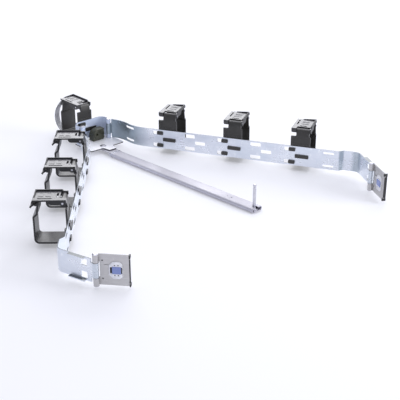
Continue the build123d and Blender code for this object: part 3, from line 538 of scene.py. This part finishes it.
class Bench:
    """Mesh work with the modelling operators, one object at a time."""

    @staticmethod
    def clear() -> None:
        """Leaves edit mode if need be and deselects every object."""
        if bpy.context.mode != "OBJECT":
            bpy.ops.object.mode_set(mode="OBJECT")
        bpy.ops.object.select_all(action="DESELECT")

    @staticmethod
    def hold(piece: bpy.types.Object) -> None:
        """Makes a piece the only selected object and the active one."""
        Bench.clear()
        piece.select_set(True)
        bpy.context.view_layer.objects.active = piece

    @staticmethod
    def cube(name: str, low: Triple, high: Triple) -> bpy.types.Object:
        """Adds a box between two corners, in millimetres, with its place in its mesh.

        Args:
            name: the new object's name.
            low: the lowest corner.
            high: the highest corner.

        Returns:
            The new object, held.
        """
        Bench.clear()
        size = [(b - a) * MM for a, b in zip(low, high)]
        at = [(a + b) / 2 * MM for a, b in zip(low, high)]
        bpy.ops.mesh.primitive_cube_add(size=1.0, location=at)
        box = bpy.context.object
        box.name = name
        box.scale = size
        bpy.ops.object.transform_apply(location=True, rotation=True, scale=True)
        return box

    @staticmethod
    def disc(name: str, at: Triple, radius: float, height: float, axis: str = "Z",
             bore: float = 0.0) -> bpy.types.Object:
        """Adds a disc, or a ring if it has a bore, with its place in its mesh, in millimetres.

        Args:
            name: the new object's name.
            at: its middle.
            radius: its outer radius.
            height: its height along its axis.
            axis: Z, or Y for a disc that faces along y.
            bore: its bore's radius.

        Returns:
            The new object, held.
        """
        Bench.clear()
        rim = radius - bore if bore else DISC_RIM * radius
        bpy.ops.mesh.primitive_cylinder_add(
            vertices=DISC_SIDES, radius=radius * MM, depth=height * MM, location=[c * MM for c in at],
            rotation=(math.pi / 2 if axis == "Y" else 0.0, 0.0, 0.0))
        disc = bpy.context.object
        disc.name = name
        bpy.ops.object.transform_apply(location=True, rotation=True, scale=True)
        Bench.pick(disc, "FACE", lambda place, way: abs(way[{"Y": 1, "Z": 2}[axis]]) > STRAIGHT)
        bpy.ops.mesh.inset(thickness=rim * MM)
        if bore:
            bpy.ops.mesh.bridge_edge_loops()
        Bench.done()
        return disc

    @staticmethod
    def pick(piece: bpy.types.Object, kind: str, test: Callable[[Vector, Vector], bool]) -> None:
        """Selects the faces, edges or vertices of a piece in edit mode that pass a test.

        Args:
            piece: the piece, which enters edit mode.
            kind: FACE, EDGE or VERT.
            test: takes the element's middle in millimetres, and its normal, or an edge's direction.
        """
        Bench.hold(piece)
        bpy.ops.object.mode_set(mode="EDIT")
        bpy.ops.mesh.select_mode(type=kind)
        bpy.ops.mesh.select_all(action="DESELECT")
        bpy.ops.object.mode_set(mode="OBJECT")
        mesh = piece.data
        if kind == "FACE":
            for face in mesh.polygons:
                face.select = test(face.center / MM, face.normal)
        elif kind == "EDGE":
            for edge in mesh.edges:
                ends = [mesh.vertices[i].co / MM for i in edge.vertices]
                edge.select = test((ends[0] + ends[1]) / 2, ends[1] - ends[0])
        else:
            for point in mesh.vertices:
                point.select = test(point.co / MM, point.normal)
        bpy.ops.object.mode_set(mode="EDIT")

    @staticmethod
    def drawn(step: Triple) -> None:
        """Extrudes the picked faces by a step in millimetres, in edit mode."""
        bpy.ops.mesh.extrude_region_move(TRANSFORM_OT_translate={"value": [c * MM for c in step]})

    @staticmethod
    def done() -> None:
        """Leaves edit mode."""
        bpy.ops.object.mode_set(mode="OBJECT")

    @staticmethod
    def cut(piece: bpy.types.Object, at: Triple, normal: Triple) -> None:
        """Cuts away all that lies beyond a plane, given in millimetres, and closes the cut."""
        Bench.pick(piece, "VERT", lambda place, way: True)
        bpy.ops.mesh.bisect(plane_co=[c * MM for c in at], plane_no=normal, use_fill=True,
                            clear_outer=True)
        Bench.done()

    @staticmethod
    def rounded(piece: bpy.types.Object, width: float, segments: int = 2, angle: float = 35.0) -> None:
        """Rounds a piece's sharp edges.

        Args:
            piece: the piece.
            width: the bevel's width in millimetres.
            segments: its segments.
            angle: edges sharper than this many degrees are rounded.
        """
        Bench.hold(piece)
        bevel = piece.modifiers.new("rounding", "BEVEL")
        bevel.width = width * MM
        bevel.segments = segments
        bevel.limit_method = "ANGLE"
        bevel.angle_limit = math.radians(angle)
        bpy.ops.object.modifier_apply(modifier="rounding")
        bpy.ops.object.shade_smooth_by_angle(angle=math.radians(40.0))
        weigh = piece.modifiers.new("weighing", "WEIGHTED_NORMAL")
        weigh.keep_sharp = True
        weigh.weight = 90
        bpy.ops.object.modifier_apply(modifier="weighing")

    @staticmethod
    def softened(node: str, name: str, width: float) -> bpy.types.Object:
        """Copies a CAD node's mesh, merges it, and rounds its edges.

        Args:
            node: the CAD node.
            name: the copy's name.
            width: the rounding in millimetres.

        Returns:
            The copy, which does not yet ride on anything.
        """
        source = frame["nodes"][node]
        copy = bpy.data.objects.new(name, source.data.copy())
        bpy.context.collection.objects.link(copy)
        Bench.pick(copy, "VERT", lambda place, way: True)
        bpy.ops.mesh.remove_doubles(threshold=0.01 * MM)
        bpy.ops.mesh.select_all(action="SELECT")
        bpy.ops.mesh.dissolve_limited(angle_limit=math.radians(0.5))
        Bench.done()
        Bench.rounded(copy, width)
        return copy

    @staticmethod
    def swapped(copy: bpy.types.Object, node: str, body: str, *finishes: bpy.types.Material) -> None:
        """Gives a copy its finishes, lets it ride on its body, and shows it in place of its node."""
        copy.data.materials.clear()
        for finish in finishes:
            copy.data.materials.append(finish)
        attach(copy, body)
        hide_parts(node)

    @staticmethod
    def faced(piece: bpy.types.Object, way: Vector) -> None:
        """Gives a piece's second finish to the faces that look along a direction, either way."""
        for face in piece.data.polygons:
            face.material_index = int(abs(face.normal.dot(way)) > END_FACING)

    @staticmethod
    def joined(pieces: list[bpy.types.Object], name: str) -> bpy.types.Object:
        """Joins pieces into one object of that name."""
        Bench.hold(pieces[0])
        for piece in pieces[1:]:
            piece.select_set(True)
        bpy.ops.object.join()
        whole = bpy.context.object
        whole.name = name
        return whole

    @staticmethod
    def settled(piece: bpy.types.Object, seat: Seat, body: str, finish: bpy.types.Material) -> None:
        """Moves a piece's mesh to its seat, gives it its finish and lets it ride on its body."""
        Bench.hold(piece)
        piece.matrix_world = seat.matrix()
        bpy.ops.object.transform_apply(location=True, rotation=True, scale=True)
        piece.data.materials.clear()
        piece.data.materials.append(finish)
        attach(piece, body)


# ---- Cable clips -------------------------------------------------------------------------------------
@dataclass
class ClipDress:
    """One cable clip: its rounded mouldings and the raised trim of its lid.

    The clip's own frame runs along the strip, away from it, and up; lengths are millimetres.
    """

    name: str
    arm: str
    width: float
    depth: float
    rounding: float = 0.45
    lid_top: float = 61.5
    rim_width: float = 1.6
    rim_height: float = 1.9
    rim_start: float = 7.0
    rim_root: float = 0.6
    rim_side_gap: float = 0.5
    rim_end_gap: float = 1.2
    rim_end_share: float = 0.62
    rim_end_fall: float = 0.7
    pad_back: float = 21.0
    pad_pitch: float = 8.6
    pad_width: float = 6.0
    pad_height: float = 0.35
    pad_root: float = 0.3
    pad_edge: float = 0.5
    pad_lip: float = 0.4
    pad_dish: float = 0.25
    trim_rounding: float = 0.15
    pad_from: float = -4.0
    pad_to: float = 6.0
    pin_away: float = 5.0

    def seat(self) -> Seat:
        """Returns the clip's frame, from its lid's hinge."""
        hinge = joint(f"{self.name}_lid_hinge")
        along = Vector(hinge["axis"])
        away = UP.cross(along)
        pin = middle(f"{self.name}_clip_pin")
        return Seat(Vector((pin.x, pin.y, 0.0)) - away * self.pin_away * MM, along)

    def mouldings(self, book: FinishBook) -> None:
        """Replaces the loop and the lid with copies that have rounded edges, and painted shade on their
        ends.
        """
        along = self.seat().along
        for kind, body, finish in (("loop", self.arm, book.clip),
                                   ("lid", f"{self.name}_lid", book.lid)):
            node = f"{self.name}_clip_{kind}"
            copy = Bench.softened(node, f"{self.name}_moulded_{kind}", self.rounding)
            Bench.swapped(copy, node, body, finish, book.trim)
            # Painted shade: the faces that look along the strip take the darker trim plastic.
            Bench.faced(copy, along)

    def rim(self) -> bpy.types.Object:
        """Models the raised rim along the lid's far side and round its outer end."""
        side = self.width / 2 - self.rim_side_gap
        end = self.depth - self.rim_end_gap
        reach = self.rim_end_share * self.width
        rim = Bench.cube(f"{self.name}_lid_rim",
                         (side - self.rim_width, self.rim_start, self.lid_top - self.rim_root),
                         (side, end, self.lid_top + self.rim_height))
        Bench.pick(rim, "VERT", lambda place, way: True)
        bpy.ops.mesh.bisect(plane_co=(0.0, (end - self.rim_width) * MM, 0.0), plane_no=(0.0, 1.0, 0.0))
        Bench.pick(rim, "FACE", lambda place, way: way.x < -STRAIGHT and place.y > end - self.rim_width)
        Bench.drawn((-reach, 0.0, 0.0))
        Bench.pick(rim, "VERT", lambda place, way: place.z > self.lid_top and place.x < 0)
        bpy.ops.transform.translate(value=(0.0, 0.0, -self.rim_end_fall * self.rim_height * MM))
        Bench.done()
        return rim

    def pads(self) -> bpy.types.Object:
        """Models the two shallow thumb pads on the lid's top, each dished in its middle."""
        made = []
        for k in range(2):
            y = self.depth - self.pad_back + k * self.pad_pitch
            pad = Bench.cube("pad", (self.pad_from, y, self.lid_top - self.pad_root),
                             (self.pad_to, y + self.pad_width, self.lid_top + self.pad_height))
            Bench.pick(pad, "FACE", lambda place, way: way.z > STRAIGHT)
            bpy.ops.mesh.inset(thickness=self.pad_edge * MM, depth=0.0)
            bpy.ops.mesh.inset(thickness=self.pad_lip * MM, depth=-self.pad_dish * MM)
            Bench.done()
            made.append(pad)
        return Bench.joined(made, f"{self.name}_lid_pads")

    def build(self, book: FinishBook) -> None:
        """Builds and dresses the whole clip."""
        self.mouldings(book)
        for piece, finish in ((self.rim(), book.trim), (self.pads(), book.lid)):
            Bench.rounded(piece, self.trim_rounding)
            Bench.settled(piece, self.seat(), f"{self.name}_lid", finish)
        log.info("clip %s", self.name)


@dataclass
class TieStrap:
    """The light ribbed tie strap that bulges from the corner clip's outer wall.

    Its own frame runs along the strap's width, outward, and up; lengths are millimetres.
    """

    root: tuple[float, float] = (-10.6, 44.2)
    heading: tuple[float, float] = (0.98, 0.199)
    width: float = 9.0
    thick: float = 0.9
    top: float = 57.5
    root_length: float = 1.0
    rib: float = 0.3
    rib_gap: float = 0.5
    rounding: float = 0.1
    side_lean: float = 0.1
    broad_lean: float = 0.3
    steps: tuple[tuple[float, float], ...] = (
        (3.0, -3.0), (4.2, -5.0), (4.0, -6.0), (2.4, -6.5), (1.0, -6.5), (-0.6, -6.5), (-2.4, -6.0),
        (-3.4, -4.5), (-4.4, -3.5))

    def broad(self, _place: Vector, way: Vector) -> bool:
        """Returns whether a face is one of the strap's broad faces, by its normal."""
        return abs(way.x) < self.side_lean and abs(way.y) > self.broad_lean

    def build(self, clip: ClipDress, book: FinishBook) -> None:
        """Builds the strap on the corner clip's wall."""
        clip_place = clip.seat().matrix()
        start = clip_place @ (Vector((*self.root, 0.0)) * MM)
        heading = clip_place.to_3x3() @ Vector((*self.heading, 0.0))
        strap = Bench.cube("corner_tie_strap", (0.0, -self.thick / 2, self.top - self.root_length),
                           (self.width, self.thick / 2, self.top))
        Bench.pick(strap, "FACE", lambda place, way: way.z < -STRAIGHT)
        for out, up in self.steps:
            Bench.drawn((0.0, out, up))
        Bench.pick(strap, "FACE", self.broad)
        bpy.ops.mesh.subdivide(number_cuts=1)
        Bench.pick(strap, "FACE", self.broad)
        bpy.ops.mesh.inset(thickness=self.rib_gap * MM, depth=self.rib * MM, use_individual=True)
        Bench.done()
        Bench.rounded(strap, self.rounding)
        Bench.settled(strap, Seat(start, heading), "elbow", book.strap)
        # Painted shade: the strap's narrow sides take the dark clip plastic.
        strap.data.materials.append(book.clip)
        Bench.faced(strap, heading)


# ---- End brackets ------------------------------------------------------------------------------------
@dataclass
class BracketDress:
    """One end bracket: the shaped latch window, its housing, and the dark guard of the outer edge.

    Its own frame runs from the hinge along the plate, inward, and up; lengths are millimetres.
    """

    side: Side
    face: float = 2.05
    sheet: float = 1.2
    window_x: float = 20.9
    window_z: float = 22.0
    window_half_w: float = 7.45
    window_half_h: float = 10.2
    left_cut: float = 4.6
    right_cut: float = 3.0
    far_edge: float = 36.2
    half_h: float = 18.45
    gusset_proud: float = 0.04
    trim_play: float = 0.1
    moulded_rounding: float = 0.3
    guard_t: float = 0.35
    guard_lap: float = 0.5
    guard_front: float = 0.25
    guard_depth: float = 3.4
    guard_over: float = 0.2
    guard_rounding: float = 0.2
    cap_length: float = 3.4
    cap_proud: float = 1.5
    cap_wide: float = 0.6
    button_shift: float = 1.0
    button_half_w: float = 4.95
    slot_reach: float = 7.0
    slit_reach: float = 6.0
    slot_half_h: float = 3.7
    # Painted shade fillings: how far proud of the plate's face they start, and how deep they go.
    shade_fill_recess: float = 0.2
    shade_fill_depth: float = 2.0
    dot_across: float = 1.9
    dot_up: float = 6.0
    dot_radius: float = 0.68
    dot_t: float = 1.0
    hole_x: float = 6.8
    hole_up: float = 10.9
    hole_radius: float = 0.88
    hole_sunk: float = 0.5
    hole_t: float = 0.6
    washer_up: float = 9.1
    washer_radius: float = 3.55
    washer_bore: float = 2.1
    washer_t: float = 0.18

    @property
    def body(self) -> str:
        """The bracket's body."""
        return f"{self.side.value}_bracket"

    def seat(self) -> Seat:
        """Returns the bracket's frame, from its hinge and its button's travel."""
        inward = Vector(joint(f"{self.side.value}_button_press")["axis"])
        hinge = Vector(joint(f"{self.side.value}_bracket_swing")["pos_m"])
        return Seat(Vector((hinge.x, hinge.y, 0.0)), Vector((inward.y, -inward.x, 0.0)))

    def gussets(self) -> bpy.types.Object:
        """Models the four corners that give the latch window its eight sides."""
        corners = []
        for across in (-1, 1):
            leg = self.left_cut if across < 0 else self.right_cut
            for up in (-1, 1):
                x = self.window_x + across * self.window_half_w
                z = self.window_z + up * self.window_half_h
                far_x, far_z = x - across * leg, z - up * leg
                corner = Bench.cube(
                    "corner", (min(x, far_x), self.face - self.gusset_proud, min(z, far_z)),
                    (max(x, far_x), self.face + self.sheet, max(z, far_z)))
                Bench.cut(corner, (far_x, 0.0, z), (-across, 0.0, -up))
                corners.append(corner)
        return Bench.joined(corners, f"{self.side.value}_window_corners")

    def trimmed(self, housing: bpy.types.Object) -> None:
        """Cuts the latch housing's four corners, so that its face has eight sides."""
        seat = self.seat().matrix()
        for across in (-1, 1):
            leg = (self.left_cut if across < 0 else self.right_cut) + self.trim_play
            x = self.window_x + across * (self.window_half_w - leg)
            for up in (-1, 1):
                at = seat @ (Vector((x, 0.0, self.window_z + up * self.window_half_h)) * MM)
                Bench.cut(housing, tuple(at / MM), tuple(seat.to_3x3() @ Vector((across, 0.0, up))))

    def guard(self) -> bpy.types.Object:
        """Models the edge guard: a thin strip with a thick cap at each corner."""
        x = self.far_edge
        half = self.half_h + self.guard_over
        caps_from = self.half_h - self.cap_length
        low = (x - self.guard_lap, self.face - self.guard_front, self.window_z - half)
        high = (x + self.guard_t, self.face + self.guard_depth, self.window_z + half)
        guard = Bench.cube("guard", low, high)
        for z in (-caps_from, caps_from):
            Bench.pick(guard, "VERT", lambda place, way: True)
            bpy.ops.mesh.bisect(plane_co=(0.0, 0.0, (self.window_z + z) * MM), plane_no=UP)
        for way_out, step in (((0.0, -1.0, 0.0), self.cap_proud), ((1.0, 0.0, 0.0), self.cap_wide)):
            out = Vector(way_out)
            Bench.pick(guard, "FACE", lambda place, way: way.dot(out) > STRAIGHT
                       and abs(place.z - self.window_z) > caps_from)
            Bench.drawn(tuple(out * step))
        Bench.done()
        return guard

    def shade_fillings(self) -> bpy.types.Object:
        """Models dark pieces in the latch's slots and dots and in the plate's holes, which are painted
        shade inside them.
        """
        button_x = self.window_x + self.button_shift
        deep = self.face - self.shade_fill_recess
        low, high = self.window_z - self.slot_half_h, self.window_z + self.slot_half_h
        made = [Bench.cube("slot", (button_x - self.slot_reach, deep, low),
                           (button_x - self.button_half_w, deep + self.shade_fill_depth, high)),
                Bench.cube("slit", (button_x + self.button_half_w, deep, low),
                           (button_x + self.slit_reach, deep + self.shade_fill_depth, high))]
        for across in (-self.dot_across, self.dot_across):
            for up in (-self.dot_up, self.dot_up):
                made.append(Bench.disc("dot", (button_x + across, deep, self.window_z + up),
                                       self.dot_radius, self.dot_t, "Y"))
        for up in (-self.hole_up, self.hole_up):
            at = (self.hole_x, self.face + self.hole_sunk, self.window_z + up)
            made.append(Bench.disc("hole", at, self.hole_radius, self.hole_t, "Y"))
        return Bench.joined(made, f"{self.side.value}_latch_inserts")

    def washers(self) -> bpy.types.Object:
        """Models the two thin washers between the hinge's knuckles."""
        made = [Bench.disc("washer", (0.0, 0.0, self.window_z + up), self.washer_radius, self.washer_t,
                           bore=self.washer_bore) for up in (-self.washer_up, self.washer_up)]
        return Bench.joined(made, f"{self.side.value}_hinge_washers")

    def build(self, book: FinishBook) -> None:
        """Builds and dresses the bracket's details."""
        side = self.side.value
        seat = self.seat()
        # Dark pieces in slots and holes, as painted shade.
        Bench.settled(self.shade_fillings(), seat, self.body, book.trim)
        Bench.settled(self.washers(), seat, self.body, book.trim)
        corners = self.gussets()
        Bench.rounded(corners, self.gusset_proud)
        Bench.settled(corners, seat, self.body, book.plate)
        guard = self.guard()
        Bench.rounded(guard, self.guard_rounding)
        Bench.settled(guard, seat, self.body, book.trim)
        guard.name = f"{side}_edge_guard"
        for node, body, finish in ((f"{side}_latch_housing", self.body, book.housing),
                                   (f"{side}_latch_button", f"{side}_button", book.button)):
            copy = Bench.softened(node, f"{node}_moulded", self.moulded_rounding)
            if finish is book.housing:
                self.trimmed(copy)
            Bench.swapped(copy, node, body, finish)
        log.info("%s bracket", side)


# ---- Elbow and bar -----------------------------------------------------------------------------------
@dataclass
class ElbowDress:
    """The elbow's block and base plate with rounded edges."""

    rounding: float = 0.4

    def build(self, book: FinishBook) -> None:
        """Replaces the block and the base plate with rounded copies."""
        for node, finish in (("elbow_block", book.block), ("elbow_base_plate", book.base)):
            copy = Bench.softened(node, f"{node}_rounded", self.rounding)
            Bench.swapped(copy, node, "elbow", finish)
        log.info("elbow")


@dataclass
class BarDress:
    """The support bar's crimped collar near its root, with lengths in millimetres from its pivot."""

    collar_at: float = 27.0
    collar_length: float = 2.4
    half_width: float = 9.25
    height: float = 6.0
    wall: float = 0.35
    overlap: float = 0.1
    corner: float = 2.6
    corner_segments: int = 5
    underside: float = 0.05
    rounding: float = 0.1

    def seat(self) -> Seat:
        """Returns the bar's frame, from its pivot and its travel."""
        pivot = Vector(joint("bar_swing")["pos_m"])
        return Seat(Vector((pivot.x, pivot.y, 0.0)), Vector(joint("bar_extend")["axis"]))

    def collar(self) -> bpy.types.Object:
        """Models the collar as a band round the rolled stretch."""
        wide = self.half_width + self.wall
        band = Bench.cube("bar_collar", (self.collar_at, -wide, self.underside),
                          (self.collar_at + self.collar_length, wide, self.height + self.wall))
        Bench.pick(band, "EDGE", lambda place, way: abs(way.x) > STRAIGHT * way.length)
        bpy.ops.mesh.bevel(offset=self.corner * MM, segments=self.corner_segments, affect="EDGES")
        Bench.pick(band, "FACE", lambda place, way: abs(way.x) > STRAIGHT)
        bpy.ops.mesh.inset(thickness=(self.wall + self.overlap) * MM)
        bpy.ops.mesh.bridge_edge_loops()
        Bench.done()
        return band

    def build(self, book: FinishBook) -> None:
        """Builds and dresses the bar's details."""
        collar = self.collar()
        Bench.rounded(collar, self.rounding)
        Bench.settled(collar, self.seat(), "bar", book.turned)
        log.info("bar")


# ---- Studio ------------------------------------------------------------------------------------------
@dataclass
class Studio:
    """Pale floor, soft lights and the camera."""

    camera_at: Triple = (-0.03094, -1.08074, 0.4991)
    camera_turn: Triple = (65.024, 0.0, -0.80)
    lens: float = 82.78
    floor_half: float = 6.0
    floor_drop: float = 0.0002
    floor_colour: Triple = (0.85, 0.85, 0.90)
    floor_white_share: float = 0.25
    white: Triple = (0.985, 0.985, 1.0)
    sky: Triple = (0.80, 0.83, 0.95)
    sky_strength: float = 0.62

    def see_white(self, tree: bpy.types.NodeTree) -> bpy.types.NodeSocket:
        """Returns the white share on camera, glossy and transmission rays, and 0 on the rest."""
        path = tree.nodes.new("ShaderNodeLightPath")
        seen = math_node(tree, "MAXIMUM", path.outputs["Is Camera Ray"], path.outputs["Is Glossy Ray"])
        seen = math_node(tree, "MAXIMUM", seen, path.outputs["Is Transmission Ray"])
        return math_node(tree, "MULTIPLY", seen, self.floor_white_share)

    def floor(self) -> None:
        """Lays the floor, which shows near white and keeps the arm's shadow."""
        bpy.ops.mesh.primitive_plane_add(size=2 * self.floor_half, location=(0, 0, -self.floor_drop))
        floor = bpy.context.object
        floor.name = "floor"
        bpy.ops.object.transform_apply(location=True)
        material, tree, shader = blank_material("pale_floor")
        shader.inputs["Base Color"].default_value = (*self.floor_colour, 1.0)
        shader.inputs["Roughness"].default_value = 0.7
        glow = tree.nodes.new("ShaderNodeEmission")
        glow.inputs["Color"].default_value = (*self.white, 1.0)
        blend = tree.nodes.new("ShaderNodeMixShader")
        tree.links.new(self.see_white(tree), blend.inputs["Fac"])
        tree.links.new(shader.outputs["BSDF"], blend.inputs[1])
        tree.links.new(glow.outputs["Emission"], blend.inputs[2])
        tree.links.new(blend.outputs["Shader"], tree.nodes["Material Output"].inputs["Surface"])
        floor.data.materials.append(material)

    def world(self) -> None:
        """Sets a soft cool sky that shows white behind the floor's edge."""
        world = bpy.data.worlds.new("studio_air")
        bpy.context.scene.world = world
        world.use_nodes = True
        tree = world.node_tree
        sky = tree.nodes["Background"]
        sky.inputs["Color"].default_value = (*self.sky, 1.0)
        sky.inputs["Strength"].default_value = self.sky_strength
        seen = tree.nodes.new("ShaderNodeBackground")
        seen.inputs["Color"].default_value = (*self.white, 1.0)
        seen.inputs["Strength"].default_value = 1.0
        blend = tree.nodes.new("ShaderNodeMixShader")
        path = tree.nodes.new("ShaderNodeLightPath")
        tree.links.new(path.outputs["Is Camera Ray"], blend.inputs["Fac"])
        tree.links.new(sky.outputs["Background"], blend.inputs[1])
        tree.links.new(seen.outputs["Background"], blend.inputs[2])
        tree.links.new(blend.outputs["Shader"], tree.nodes["World Output"].inputs["Surface"])

    def panel(self, name: str, at: Triple, size: tuple[float, float], power: float,
              colour: Triple = (1.0, 1.0, 1.0)) -> None:
        """Hangs a soft panel light that faces the arm.

        Args:
            name: the light's name.
            at: its place.
            size: its width and height.
            power: its power in watts.
            colour: its colour.
        """
        data = bpy.data.lights.new(name, "AREA")
        data.shape = "RECTANGLE"
        data.size, data.size_y = size
        data.energy = power
        data.color = colour
        lamp = bpy.data.objects.new(name, data)
        lamp.location = at
        lamp.rotation_euler = (Vector((0, 0, 0)) - Vector(at)).to_track_quat("-Z", "Y").to_euler()
        bpy.context.collection.objects.link(lamp)

    def lights(self) -> None:
        """Hangs the overhead panel, the far panel that glints on upper faces, and a side fill."""
        self.panel("overhead_panel", (0.1, 0.1, 1.5), (1.6, 1.6), 10.0)
        self.panel("far_panel", (0.2, 2.2, 1.1), (3.0, 1.4), 33.0)
        self.panel("right_fill", (1.6, -0.3, 0.6), (1.0, 0.8), 18.0, (0.97, 0.98, 1.0))

    def camera(self) -> None:
        """Sets the camera above and in front of the arm."""
        data = bpy.data.cameras.new("view")
        data.lens = self.lens
        data.sensor_width = 36.0
        data.clip_end = 50.0
        camera = bpy.data.objects.new("view", data)
        camera.location = self.camera_at
        camera.rotation_euler = tuple(math.radians(a) for a in self.camera_turn)
        bpy.context.collection.objects.link(camera)
        bpy.context.scene.camera = camera

    def build(self) -> None:
        """Builds the whole studio."""
        bpy.context.scene.view_settings.view_transform = "Standard"
        self.floor()
        self.world()
        self.lights()
        self.camera()
        log.info("studio ready")


def main() -> None:
    """Builds everything in order."""
    book = FinishBook()
    dress_nodes(book)
    corner = ClipDress("corner", "elbow", 24.0, 44.5)
    corner.build(book)
    TieStrap().build(corner, book)
    for side in Side:
        for number in (1, 2, 3):
            ClipDress(f"{side.value}_{number}", f"{side.value}_arm", 27.0, 40.0).build(book)
        BracketDress(side).build(book)
    ElbowDress().build(book)
    BarDress().build(book)
    Studio().build()


if __name__ == "__main__":
    main()
